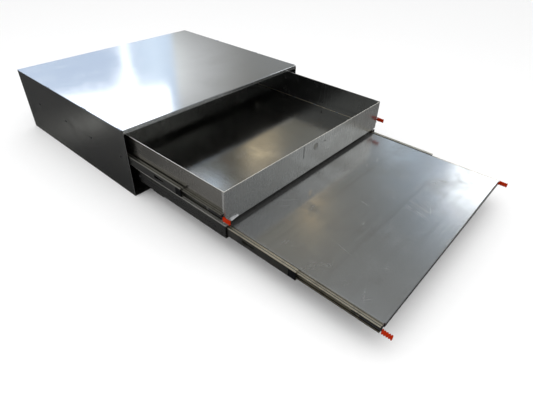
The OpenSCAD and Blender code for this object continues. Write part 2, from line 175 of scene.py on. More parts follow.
class Paint:
    """A node tree with the few calls that the finishes need."""

    def __init__(self, tree: bpy.types.NodeTree) -> None:
        """Starts on an emptied tree.

        Args:
            tree: The material's or world's node tree.
        """
        self.tree = tree
        tree.nodes.clear()

    def node(self, kind: str, settings: dict[str, Any] | None = None, **inputs: Any) -> bpy.types.Node:
        """Adds a node.

        Args:
            kind: The node's type, without its ShaderNode prefix.
            settings: Settings to make before the sockets are filled.
            inputs: Values or links of its sockets, underscores standing for spaces.

        Returns:
            The new node.
        """
        made = self.tree.nodes.new("ShaderNode" + kind)
        for key, setting in (settings or {}).items():
            setattr(made, key, setting)
        self.fill(made, **inputs)
        return made

    def fill(self, node: bpy.types.Node, **inputs: Any) -> None:
        """Links or sets some of a node's input sockets.

        Args:
            node: The node.
            inputs: Values or links of its sockets, underscores standing for spaces.
        """
        for key, item in inputs.items():
            self.feed(node.inputs[key.replace("_", " ")], item)

    def feed(self, socket: bpy.types.NodeSocket, item: Any) -> None:
        """Links or sets one input socket.

        Args:
            socket: The input socket.
            item: A value, an output socket, a colour or a number.
        """
        if isinstance(item, Value):
            self.tree.links.new(item.socket, socket)
        elif isinstance(item, bpy.types.NodeSocket):
            self.tree.links.new(item, socket)
        elif isinstance(item, tuple) and socket.type == "RGBA":
            socket.default_value = (*item[:3], 1.0)
        else:
            socket.default_value = item

    def value(self, socket: bpy.types.NodeSocket) -> Value:
        """An output socket as a value."""
        return Value(self.tree, socket)

    def place(self, turn: Triple = (0, 0, 0), scale: Triple = (1, 1, 1)) -> bpy.types.NodeSocket:
        """Object coordinates, turned and then scaled.

        Args:
            turn: Angles about X, Y and Z, in radians.
            scale: Scales along X, Y and Z.

        Returns:
            The coordinates.
        """
        at = self.node("TexCoord").outputs["Object"]
        turned = self.node("Mapping", Vector=at, Rotation=turn).outputs[0]
        return self.node("Mapping", Vector=turned, Scale=scale).outputs[0]

    def noise(self, at: bpy.types.NodeSocket, scale: float, detail: float = 2.0, rough: float = 0.5,
              bend: float = 0.0) -> Value:
        """Noise around 0.5 at a place.

        Args:
            at: The coordinates.
            scale: Cells a metre.
            detail: Octaves.
            rough: How strong the fine octaves are.
            bend: Distortion.

        Returns:
            The noise.
        """
        made = self.node("TexNoise", Vector=at, Scale=scale, Detail=detail, Roughness=rough,
                         Distortion=bend)
        return self.value(made.outputs["Fac"])

    def blend(self, how_much: Any, first: Any, second: Any, mode: str = "MIX") -> bpy.types.NodeSocket:
        """Mixes two colours.

        Args:
            how_much: The second colour's share, between 0 and 1.
            first: The first colour or its socket.
            second: The second colour or its socket.
            mode: The Mix node's way of blending.

        Returns:
            The mixed colour.
        """
        made = self.node("Mix", {"data_type": "RGBA", "blend_type": mode}, Factor=how_much)
        colours = [socket for socket in made.inputs if socket.type == "RGBA"]
        self.feed(colours[0], first)
        self.feed(colours[1], second)
        return next(socket for socket in made.outputs if socket.type == "RGBA")

    def split(self, vector: bpy.types.NodeSocket) -> tuple[Value, Value, Value]:
        """A vector's three parts."""
        return tuple(self.value(part) for part in self.node("SeparateXYZ", Vector=vector).outputs)

    def bump(self, height: Value, depth: float, strength: float = 1.0) -> bpy.types.NodeSocket:
        """A bump from a height between 0 and 1, its depth in metres."""
        return self.node("Bump", Height=height, Distance=depth, Strength=strength).outputs[0]


# ---------------------------------------------------------------- finishes


@dataclass(frozen=True)
class Finish:
    """A finish drawn by one Principled shader, whose sockets each kind of finish fills."""

    name: str

    def draw(self, paint: Paint, shader: bpy.types.Node) -> None:
        """Fills the shader's sockets; each kind of finish has its own."""
        raise NotImplementedError

    def material(self) -> bpy.types.Material:
        """Makes the material.

        Returns:
            The material.
        """
        made = bpy.data.materials.new(self.name)
        made.use_nodes = True
        paint = Paint(made.node_tree)
        shader = paint.node("BsdfPrincipled")
        paint.node("OutputMaterial", Surface=shader.outputs[0])
        self.draw(paint, shader)
        return made


@dataclass(frozen=True)
class Scuff:
    """A thin upright rub mark."""

    x: float
    low: float
    high: float
    half_wide: float = 2.0 * MM

    def mask(self, paint: Paint) -> Value:
        """Where the mark is, a little wavy and broken.

        Args:
            paint: The material's nodes.

        Returns:
            The mark's share, between 0 and 1.
        """
        x, _, z = paint.split(paint.place())
        wave = (paint.noise(paint.place(scale=(0.0, 0.0, 60.0)), 1.0, 2.0) - 0.5) * (3.0 * MM)
        line = (x + wave).distance(self.x).step(self.half_wide * 1.6, self.half_wide * 0.4)
        ends = z.step(self.low - MM, self.low + 6 * MM) * z.step(self.high + MM, self.high - 4 * MM)
        return line * ends * paint.noise(paint.place(), 160.0, 2.0).step(0.25, 0.45) * 0.95


@dataclass(frozen=True)
class SheetSteel(Finish):
    """Bare mill-finish sheet: rolling grain, cloudy patches, handling smudges and hairline scratches,
    with a painted highlight along chosen edges.
    """

    tint: Colour = (0.56, 0.565, 0.56)
    stain: Colour = (0.44, 0.425, 0.39)
    roughness: float = 0.15
    rolled: Along = Along.X
    grain: float = 1.0
    smudges: float = 0.5
    scratches: float = 0.5
    mottle: float = 0.35
    seed: float = 0.0
    normal: Along = Along.Z
    # The four fields below place and colour a painted highlight along the sheet's top rim and its folded
    # return.
    rim_up: float | None = None
    rim_out: float | None = None
    rim: Colour = (0.92, 0.92, 0.90)
    out_share: float = 1.0
    scuff: Scuff | None = None
    metallic: float = 1.0

    def edges(self, paint: Paint) -> Value | None:
        """Where the painted highlight goes: along the sheared rim or the folded return.

        Args:
            paint: The material's nodes.

        Returns:
            The edge's share, between 0 and 1, or None for a sheet that shows no edge.
        """
        x, _, z = paint.split(paint.place())
        found = None
        if self.rim_up is not None:
            found = z.step(self.rim_up - 0.4 * MM, self.rim_up + 0.2 * MM)
        if self.rim_out is not None:
            out = x.distance(0.0).step(self.rim_out - 0.2 * MM, self.rim_out + 0.1 * MM)
            out = out * self.out_share
            found = out if found is None else found.larger(out)
        return found

    def stretch(self, along: float, across: float) -> Triple:
        """Scale that draws noise out along the rolling direction."""
        return tuple(along if axis is self.rolled else across for axis in Along)

    def hairlines(self, paint: Paint) -> Value:
        """Sparse hairline scratches at three slants in the sheet's plane.

        Args:
            paint: The material's nodes.

        Returns:
            The scratches' share, between 0 and 1.
        """
        cover = paint.noise(paint.place(), 5.0 + self.seed, 2.0).step(0.45, 0.70)
        length = {Along.X: Along.Y, Along.Y: Along.X, Along.Z: Along.X}[self.normal]
        scale = tuple(0.0 if axis is self.normal else 4.0 if axis is length else 420.0 for axis in Along)
        lines = None
        for slant in (0.35, -0.75, 1.25):
            turn = tuple(slant + self.seed if axis is self.normal else 0.0 for axis in Along)
            one = paint.noise(paint.place(turn, scale), 1.0, 1.0).step(0.70, 0.77)
            lines = one if lines is None else lines.larger(one)
        return lines * cover

    def draw(self, paint: Paint, shader: bpy.types.Node) -> None:
        """Draws the finish.

        Args:
            paint: The material's nodes.
            shader: Its Principled shader.
        """
        here = paint.place()
        fine = paint.noise(paint.place(scale=self.stretch(5.0, 1500.0)), 1.0, 3.0, 0.6)
        broad = paint.noise(paint.place(scale=self.stretch(1.2, 38.0)), 1.0, 3.0, 0.6)
        cloud = paint.noise(here, 3.1 + self.seed, 4.0, 0.55, 0.4)
        speckle = paint.noise(here, 900.0, 2.0)
        wiped = paint.noise(here, 11.0 + self.seed, 3.0, 0.55, 0.5).step(0.5, 0.8) * self.smudges
        cuts = self.hairlines(paint) * self.scratches
        dirt = cloud.step(0.4, 0.75) * self.mottle + broad.step(0.5, 0.8) * 0.25 + wiped * 0.2
        metal = paint.blend(dirt, self.tint, self.stain)
        bright = tuple(min(1.0, c * 1.35) for c in self.tint)
        metal = paint.blend(cuts * 0.7 + (fine - 0.5) * (0.35 * self.grain), metal, bright)
        # Painted highlight: the edges are drawn in a bright colour and less metallic, so they glow as if
        # catching light.
        edges = self.edges(paint)
        if edges is not None:
            metal = paint.blend(edges * 0.85, metal, self.rim)
        if self.scuff is not None:
            metal = paint.blend(self.scuff.mask(paint), metal, (0.03, 0.03, 0.03))
        metallic = self.metallic if edges is None else self.metallic - edges * 0.6
        rough = (fine - 0.5) * (0.14 * self.grain) + cloud.step(0.4, 0.7) * 0.05 + wiped * 0.10
        rough = rough + cuts * 0.12 + (speckle - 0.5) * 0.05 + self.roughness
        height = fine * (0.5 * self.grain) + speckle * 0.25 + cuts * -0.6 + broad * 0.4
        paint.fill(shader, Base_Color=metal, Metallic=metallic, Roughness=rough,
                   Normal=paint.bump(height, 0.04 * MM, 0.35))


@dataclass(frozen=True)
class ZincSteel(Finish):
    """Zinc-plated rolled strip: fine crystals, drawn lines along the member, grease in places, with the
    web and the ball race painted darker as shade.
    """

    tint: Colour
    race: float
    web_low: float
    web_high: float
    web: Colour = (0.15, 0.15, 0.148)
    greased: Colour = (0.20, 0.185, 0.15)
    roughness: float = 0.33
    grease: float = 0.35

    def draw(self, paint: Paint, shader: bpy.types.Node) -> None:
        """Draws the finish.

        Args:
            paint: The material's nodes.
            shader: Its Principled shader.
        """
        here = paint.place()
        crystals = paint.node("TexVoronoi", {"feature": "F1"}, Vector=here, Scale=420.0)
        grains = paint.value(crystals.outputs["Distance"])
        drawn = paint.noise(paint.place(scale=(1400.0, 4.0, 1400.0)), 1.0, 2.0)
        cloud = paint.noise(here, 26.0, 4.0, 0.6, 0.8)
        oily = cloud.step(0.48, 0.7) * self.grease
        metal = paint.blend(oily, self.tint, self.greased)
        metal = paint.blend(grains * 0.3 + drawn * 0.15, metal, tuple(c * 0.8 for c in self.tint))
        # Painted shade: the web between the flanges is drawn darker than the flanges.
        x, _, z = paint.split(here)
        fade = 0.6 * MM
        web = z.step(self.web_low, self.web_low + fade) * z.step(self.web_high, self.web_high - fade)
        # Painted shade: a dark line along the ball race stands in for the shade in its groove.
        race_groove_shade = x.distance(0.0).distance(self.race).step(1.5 * MM, 0.8 * MM)
        metal = paint.blend(race_groove_shade * 0.85, metal, (0.05, 0.048, 0.045))
        metal = paint.blend(web * (0.8 + cloud * 0.25), metal, self.web)
        paint.fill(shader, Base_Color=metal, Metallic=1.0,
                   Roughness=self.roughness + (drawn - 0.5) * 0.16 + oily * 0.15,
                   Normal=paint.bump(drawn * 0.7 + grains * 0.3, 0.05 * MM, 0.4))


@dataclass(frozen=True)
class BlackOxide(Finish):
    """Chemically blackened steel, rubbed to bare metal in spots."""

    tint: Colour = (0.035, 0.035, 0.037)
    bare: Colour = (0.30, 0.29, 0.28)
    roughness: float = 0.38

    def draw(self, paint: Paint, shader: bpy.types.Node) -> None:
        """Draws the finish.

        Args:
            paint: The material's nodes.
            shader: Its Principled shader.
        """
        here = paint.place()
        worn = paint.noise(here, 260.0, 4.0, 0.65, 0.5).step(0.6, 0.72)
        pores = paint.noise(here, 2600.0, 2.0)
        paint.fill(shader, Base_Color=paint.blend(worn * 0.6, self.tint, self.bare),
                   Metallic=worn * 0.5 + 0.5,
                   Roughness=self.roughness + (pores - 0.5) * 0.2 - worn * 0.08,
                   Normal=paint.bump(pores, 0.04 * MM, 0.4))


@dataclass(frozen=True)
class BrightSteel(Finish):
    """Small bright pieces: balls, rivets, passivated strip and weld beads."""

    tint: Colour
    shade: Colour
    roughness: float = 0.15
    ripple: float = 300.0

    def draw(self, paint: Paint, shader: bpy.types.Node) -> None:
        """Draws the finish.

        Args:
            paint: The material's nodes.
            shader: Its Principled shader.
        """
        here = paint.place()
        cloud = paint.noise(here, self.ripple, 3.0, 0.6)
        fine = paint.noise(here, self.ripple * 9.0, 2.0)
        paint.fill(shader, Base_Color=paint.blend(cloud.step(0.4, 0.7), self.tint, self.shade),
                   Metallic=1.0,
                   Roughness=self.roughness + (cloud - 0.5) * 0.15 + (fine - 0.5) * 0.05,
                   Normal=paint.bump(cloud * 0.6 + fine * 0.4, 0.05 * MM, 0.3))


@dataclass(frozen=True)
class Plastic(Finish):
    """Moulded or dipped plastic with a fine skin texture, scuffs and dust."""

    tint: Colour
    scuffed: Colour
    roughness: float = 0.4
    texture: float = 1500.0
    shine: float = 0.25

    def draw(self, paint: Paint, shader: bpy.types.Node) -> None:
        """Draws the finish.

        Args:
            paint: The material's nodes.
            shader: Its Principled shader.
        """
        here = paint.place()
        skin = paint.noise(here, self.texture, 2.0)
        cloud = paint.noise(here, 130.0, 3.0, 0.6, 0.6)
        rubbed = paint.noise(here, 420.0, 3.0, 0.7).step(0.6, 0.75)
        scuffs = cloud.step(0.45, 0.7) * 0.35 + rubbed * 0.4
        paint.fill(shader, Base_Color=paint.blend(scuffs, self.tint, self.scuffed),
                   Roughness=self.roughness + (skin - 0.5) * 0.15 + rubbed * 0.12,
                   Normal=paint.bump(skin, 0.06 * MM, 0.5), Specular_IOR_Level=self.shine)


@dataclass(frozen=True)
class ClearFilm(Finish):
    """A curl of thin protective film, milky and wrinkled."""

    tint: Colour = (0.72, 0.73, 0.74)

    def draw(self, paint: Paint, shader: bpy.types.Node) -> None:
        """Draws the finish.

        Args:
            paint: The material's nodes.
            shader: Its Principled shader.
        """
        wrinkle = paint.noise(paint.place(scale=(1.0, 1.0, 3.0)), 190.0, 3.0, 0.6, 1.0)
        paint.fill(shader, Base_Color=paint.blend(wrinkle, self.tint, (0.5, 0.51, 0.52)),
                   Roughness=wrinkle * 0.3 + 0.12, Alpha=wrinkle.step(0.3, 0.7) * 0.25 + 0.62,
                   Normal=paint.bump(wrinkle, 0.4 * MM, 0.6))


@dataclass(frozen=True)
class MattFloor(Finish):
    """A pale matt floor."""

    def draw(self, paint: Paint, shader: bpy.types.Node) -> None:
        """Draws the finish.

        Args:
            paint: The material's nodes.
            shader: Its Principled shader.
        """
        grain = paint.noise(paint.place(), 40.0, 3.0)
        paint.fill(shader, Base_Color=paint.blend(grain, (0.93, 0.93, 0.93), (0.95, 0.95, 0.95)),
                   Roughness=0.9)


class Finishes:
    """Every finish on the object, made once."""

    def __init__(self) -> None:
        """Draws them all."""
        # The rim heights below place painted highlights, and each sheet's rim colour is a painted
        # highlight.
        side_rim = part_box("cabinet_top")[1].z - 2.2 * MM
        top_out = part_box("cabinet_top")[1].x - 0.9 * MM
        tray_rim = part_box("tray_left_wall")[1].z - 0.9 * MM
        front_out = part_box("tray_front")[1].x - 1.7 * MM
        rail_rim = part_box("carriage_left")[1].z - 1.6 * MM
        self.top = SheetSteel(
            "top_sheet", tint=(0.58, 0.585, 0.58), stain=(0.52, 0.52, 0.50), roughness=0.085,
            grain=0.5, smudges=0.35, seed=0.3, rim_out=top_out, rim=(0.40, 0.47, 0.58),
            metallic=0.94).material()
        self.side = SheetSteel(
            "side_sheet", tint=(0.46, 0.465, 0.455), stain=(0.36, 0.355, 0.33), roughness=0.15,
            rolled=Along.Z, grain=1.3, smudges=0.4, scratches=0.35, seed=0.9, normal=Along.X,
            rim_up=side_rim, rim=(0.38, 0.44, 0.55), metallic=0.985).material()
        self.inner_sheet = SheetSteel(
            "inner_sheet", tint=(0.42, 0.42, 0.41), stain=(0.3, 0.29, 0.27), roughness=0.27,
            rolled=Along.Y, smudges=0.4, scratches=0.3, seed=1.4).material()
        self.tray_side = SheetSteel(
            "tray_side_sheet", tint=(0.50, 0.485, 0.45), stain=(0.40, 0.375, 0.33), roughness=0.22,
            rolled=Along.Z, grain=1.5, scratches=0.3, seed=2.1, normal=Along.X, rim_up=tray_rim,
            rim=(0.85, 0.85, 0.83)).material()
        # Painted shade: the far wall is drawn much darker than the near wall, standing in for the darker
        # light on its inner face.
        self.tray_far_side = SheetSteel(
            "tray_far_side_sheet", tint=(0.27, 0.28, 0.285), stain=(0.2, 0.2, 0.195),
            roughness=0.22, rolled=Along.Z, grain=1.2, scratches=0.3, seed=1.9, normal=Along.X,
            rim_up=tray_rim, rim=WHITE).material()
        self.tray_floor = SheetSteel(
            "tray_floor_sheet", tint=(0.54, 0.53, 0.50), stain=(0.44, 0.41, 0.36),
            roughness=0.14, rolled=Along.Y, grain=0.9, smudges=0.4, scratches=0.2,
            seed=2.7).material()
        self.tray_front = SheetSteel(
            "tray_front_sheet", tint=(0.58, 0.585, 0.575), stain=(0.47, 0.465, 0.44),
            roughness=0.25, rolled=Along.Z, grain=1.1, smudges=0.6, scratches=0.4, seed=3.3,
            normal=Along.Y, rim_up=tray_rim, rim_out=front_out, rim=(0.85, 0.82, 0.74),
            out_share=0.12, scuff=Scuff(-67 * MM, 179 * MM, 227 * MM), metallic=0.93).material()
        # Painted shade: the carriage sheet is drawn far darker than the other sheets, standing in for the
        # shade under the tray.
        self.carriage = SheetSteel(
            "carriage_sheet", tint=(0.18, 0.18, 0.175), stain=(0.12, 0.115, 0.105),
            roughness=0.25, rolled=Along.Y, grain=1.2, smudges=0.4, scratches=0.3, seed=3.9,
            normal=Along.X, rim_up=rail_rim, rim=(0.38, 0.37, 0.345)).material()
        self.table = SheetSteel(
            "table_sheet", tint=(0.55, 0.555, 0.55), stain=(0.34, 0.33, 0.30), roughness=0.18,
            grain=0.8, smudges=0.7, scratches=1.0, mottle=0.4, seed=4.6, metallic=0.92).material()
        # Painted highlight: the bright seam bead stands in for the highlight along the floor's joint with
        # the walls.
        self.seam = BrightSteel("seam_bead", (0.85, 0.76, 0.60), (0.6, 0.55, 0.45), 0.5).material()
        self.oxide = BlackOxide("black_oxide").material()
        self.balls = BrightSteel(
            "bearing_balls", (0.78, 0.78, 0.78), (0.6, 0.6, 0.58), 0.08).material()
        self.cage = BrightSteel(
            "cage_strip", (0.09, 0.08, 0.055), (0.06, 0.055, 0.04), 0.35, 180.0).material()
        self.rivet = BrightSteel(
            "rivet_steel", (0.62, 0.61, 0.58), (0.45, 0.44, 0.4), 0.22).material()
        self.weld = BrightSteel(
            "weld_bead", (0.52, 0.58, 0.68), (0.30, 0.31, 0.34), 0.3, 520.0).material()
        self.black = Plastic(
            "black_plastic", (0.004, 0.004, 0.0045), (0.02, 0.02, 0.02), 0.5,
            shine=0.12).material()
        self.orange = Plastic(
            "orange_plastic", (0.34, 0.017, 0.001), (0.22, 0.010, 0.001), 0.5, 900.0,
            0.03).material()
        self.film = ClearFilm("film").material()


# ---------------------------------------------------------------- mesh helpers


def finish_piece(name: str, mesh: bmesh.types.BMesh, body: str, material: bpy.types.Material,
                 smooth_angle: float = FLAT_ANGLE) -> bpy.types.Object:
    """Turns a bmesh, already in place, into a piece that rides on a body.

    Args:
        name: The piece's name.
        mesh: The bmesh; it is freed.
        body: The CAD body it rides on.
        material: Its finish.
        smooth_angle: Faces that meet flatter than this are shaded as one, in degrees.

    Returns:
        The piece.
    """
    bmesh.ops.remove_doubles(mesh, verts=mesh.verts, dist=MERGE_DISTANCE)
    bmesh.ops.recalc_face_normals(mesh, faces=mesh.faces)
    for face in mesh.faces:
        face.smooth = True
    limit = math.radians(smooth_angle)
    for edge in mesh.edges:
        edge.smooth = len(edge.link_faces) == 2 and edge.calc_face_angle(0.0) < limit
    data = bpy.data.meshes.new(name)
    mesh.to_mesh(data)
    mesh.free()
    data.materials.append(material)
    piece = bpy.data.objects.new(name, data)
    bpy.context.scene.collection.objects.link(piece)
    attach(piece, body)
    LOG.info("%s rides on %s, %d faces", name, body, len(data.polygons))
    return piece


def bevel(mesh: bmesh.types.BMesh, edges: Iterable[bmesh.types.BMEdge], width: float,
          segments: int = 2) -> None:
    """Rounds some of a mesh's edges.

    Args:
        mesh: The bmesh.
        edges: Its edges to round.
        width: Width of the rounding.
        segments: Faces across it.
    """
    bmesh.ops.bevel(mesh, geom=list(edges), offset=width, segments=segments, affect="EDGES",
                    profile=0.5, material=-1)


def add_mesh(mesh: bmesh.types.BMesh, part: bmesh.types.BMesh, place: Matrix) -> None:
    """Puts one bmesh in its place, adds it to another and frees it.

    Args:
        mesh: The bmesh to add to.
        part: The bmesh that is added.
        place: The part's place in the mesh.
    """
    bmesh.ops.transform(part, matrix=place, verts=part.verts)
    data = bpy.data.meshes.new("part")
    part.to_mesh(data)
    part.free()
    mesh.from_mesh(data)
    bpy.data.meshes.remove(data)


def add_block(mesh: bmesh.types.BMesh, corner: Triple, far: Triple, round_by: float,
              segments: int = 3) -> None:
    """Adds a block with rounded edges.

    Args:
        mesh: The bmesh to add to.
        corner: One corner.
        far: The corner across from it.
        round_by: Width of the rounding.
        segments: Faces across each rounding.
    """
    low, high = (Vector(map(pick, corner, far)) for pick in (min, max))
    block = bmesh.new()
    bmesh.ops.create_cube(block, size=1.0, matrix=Matrix.Diagonal((*(high - low), 1.0)))
    bevel(block, block.edges, round_by, segments)
    add_mesh(mesh, block, Matrix.Translation((low + high) / 2))


def add_rod(mesh: bmesh.types.BMesh, start: Vector, end: Vector, radius: float,
            round_by: float = 0.0) -> None:
    """Adds a round rod.

    Args:
        mesh: The bmesh to add to.
        start: The centre of one end.
        end: The centre of the other.
        radius: The rod's radius.
        round_by: Width of the rounding of its edges, or 0 for sharp ones.
    """
    span = end - start
    rod = bmesh.new()
    bmesh.ops.create_cone(rod, cap_ends=True, segments=10, radius1=radius, radius2=radius,
                          depth=span.length)
    if round_by:
        bevel(rod, rod.edges, round_by)
    turn = UP.rotation_difference(span).to_matrix().to_4x4()
    add_mesh(mesh, rod, Matrix.Translation((start + end) / 2) @ turn)


def spread(low: float, high: float, margin: float, count: int) -> list[float]:
    """Evenly spaced places between two ends.

    Args:
        low: The lower end.
        high: The upper end.
        margin: How far the first and the last place are from the ends.
        count: How many places there are.

    Returns:
        The places.
    """
    return [low + margin + i * (high - low - 2 * margin) / (count - 1) for i in range(count)]


def add_lathe(mesh: bmesh.types.BMesh, profile: Iterable[tuple[float, float]], at: Vector, axis: Vector,
              steps: int = 24) -> None:
    """Adds a turned shape.

    Args:
        mesh: The bmesh to add to.
        profile: Points of the profile, as radius and height along the axis.
        at: Where the profile's height 0 is.
        axis: The axis, along which heights grow.
        steps: Faces round the shape.
    """
    turned = bmesh.new()
    points = [turned.verts.new((radius, 0.0, height)) for radius, height in profile]
    edges = [turned.edges.new(pair) for pair in zip(points, points[1:])]
    bmesh.ops.spin(turned, geom=points + edges, cent=(0, 0, 0), axis=UP, angle=math.tau, steps=steps,
                   use_merge=True)
    bmesh.ops.remove_doubles(turned, verts=turned.verts, dist=MERGE_DISTANCE)
    add_mesh(mesh, turned, Matrix.Translation(at) @ UP.rotation_difference(axis).to_matrix().to_4x4())


def dress(material: bpy.types.Material, *nodes: str) -> None:
    """Gives CAD nodes a finish.

    Args:
        material: The finish.
        nodes: The CAD nodes.
    """
    for name in nodes:
        mesh = frame["nodes"][name].data
        mesh.materials.clear()
        mesh.materials.append(material)


def round_edges(width: float, *nodes: str) -> None:
    """Rounds the sheared edges of CAD sheets, so that they catch the light.

    Args:
        width: Width of the rounding.
        nodes: The CAD nodes.
    """
    for name in nodes:
        piece = frame["nodes"][name]
        joined = piece.modifiers.new("joined", "WELD")
        joined.merge_threshold = 0.01 * MM
        rounded = piece.modifiers.new("rounded", "BEVEL")
        rounded.width, rounded.segments = width, 2
        rounded.limit_method, rounded.angle_limit = "ANGLE", math.radians(FLAT_ANGLE)


def thicken(piece: bpy.types.Object, thickness: float) -> None:
    """Gives a thin piece its thickness."""
    piece.modifiers.new("thickness", "SOLIDIFY").thickness = thickness


def both(pattern: str) -> list[str]:
    """A node's names on the left and on the right."""
    return [f"{pattern}_{side.word}" for side in Side]


# ---------------------------------------------------------------- sub-assemblies


@dataclass
class Housing:
    """The outer casing: five sheets, its welds and rivets, and the screws of the drawer slides."""

    finishes: Finishes
    weld_rise: float = 0.9 * MM
    weld_sunk: float = 0.4 * MM
    weld_width: float = 3.2 * MM
    stitch_count: int = 7
    stitch_length: float = 26 * MM
    stitch_radius: float = 2.0 * MM
    stitch_inset: float = 2.2 * MM
    stitch_margin: float = 60 * MM

    def build(self) -> None:
        """Dresses the sheets and adds the welds."""
        f = self.finishes
        dress(f.top, "cabinet_top")
        dress(f.side, "cabinet_left_side", "cabinet_right_side")
        dress(f.inner_sheet, "cabinet_bottom", "cabinet_back")
        dress(f.oxide, "housing_slide_screws")
        dress(f.rivet, "back_rivets")
        round_edges(0.6 * MM, "cabinet_top", "cabinet_left_side", "cabinet_right_side")
        self.tab_welds()
        self.inside_welds()

    def tab_spans(self) -> list[tuple[float, float]]:
        """Reads the tabs off the side sheet's upper edge.

        Returns:
            The front and the back of each tab.
        """
        side = frame["nodes"]["cabinet_left_side"].data
        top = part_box("cabinet_left_side")[1].z
        edge = sorted({round(v.co.y, 5) for v in side.vertices if v.co.z > top - 0.1 * MM})
        return list(zip(edge[::2], edge[1::2]))

    def tab_welds(self) -> None:
        """A ground-down weld over each tab, standing a little proud of the top."""
        mesh = bmesh.new()
        low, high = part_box("cabinet_top")
        for side in Side:
            outer = side.outer(low, high)
            inner = outer - side.value * self.weld_width
            for front, back in self.tab_spans():
                add_block(mesh, (outer, front + MM, high.z - self.weld_sunk),
                          (inner, back - MM, high.z + self.weld_rise), 0.55 * MM)
        finish_piece("housing_tab_welds", mesh, "cabinet", self.finishes.weld)

    def inside_welds(self) -> None:
        """Stitch welds along the inner corners at the bottom of the sides."""
        mesh = bmesh.new()
        low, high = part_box("cabinet_bottom")
        half = Vector((0, self.stitch_length / 2, 0))
        for side in Side:
            x = side.outer(low, high) - side.value * self.stitch_inset
            for y in spread(low.y, high.y, self.stitch_margin, self.stitch_count):
                centre = Vector((x, y, high.z))
                add_rod(mesh, centre + half, centre - half, self.stitch_radius, 0.5 * MM)
        finish_piece("housing_inside_welds", mesh, "cabinet", self.finishes.weld)


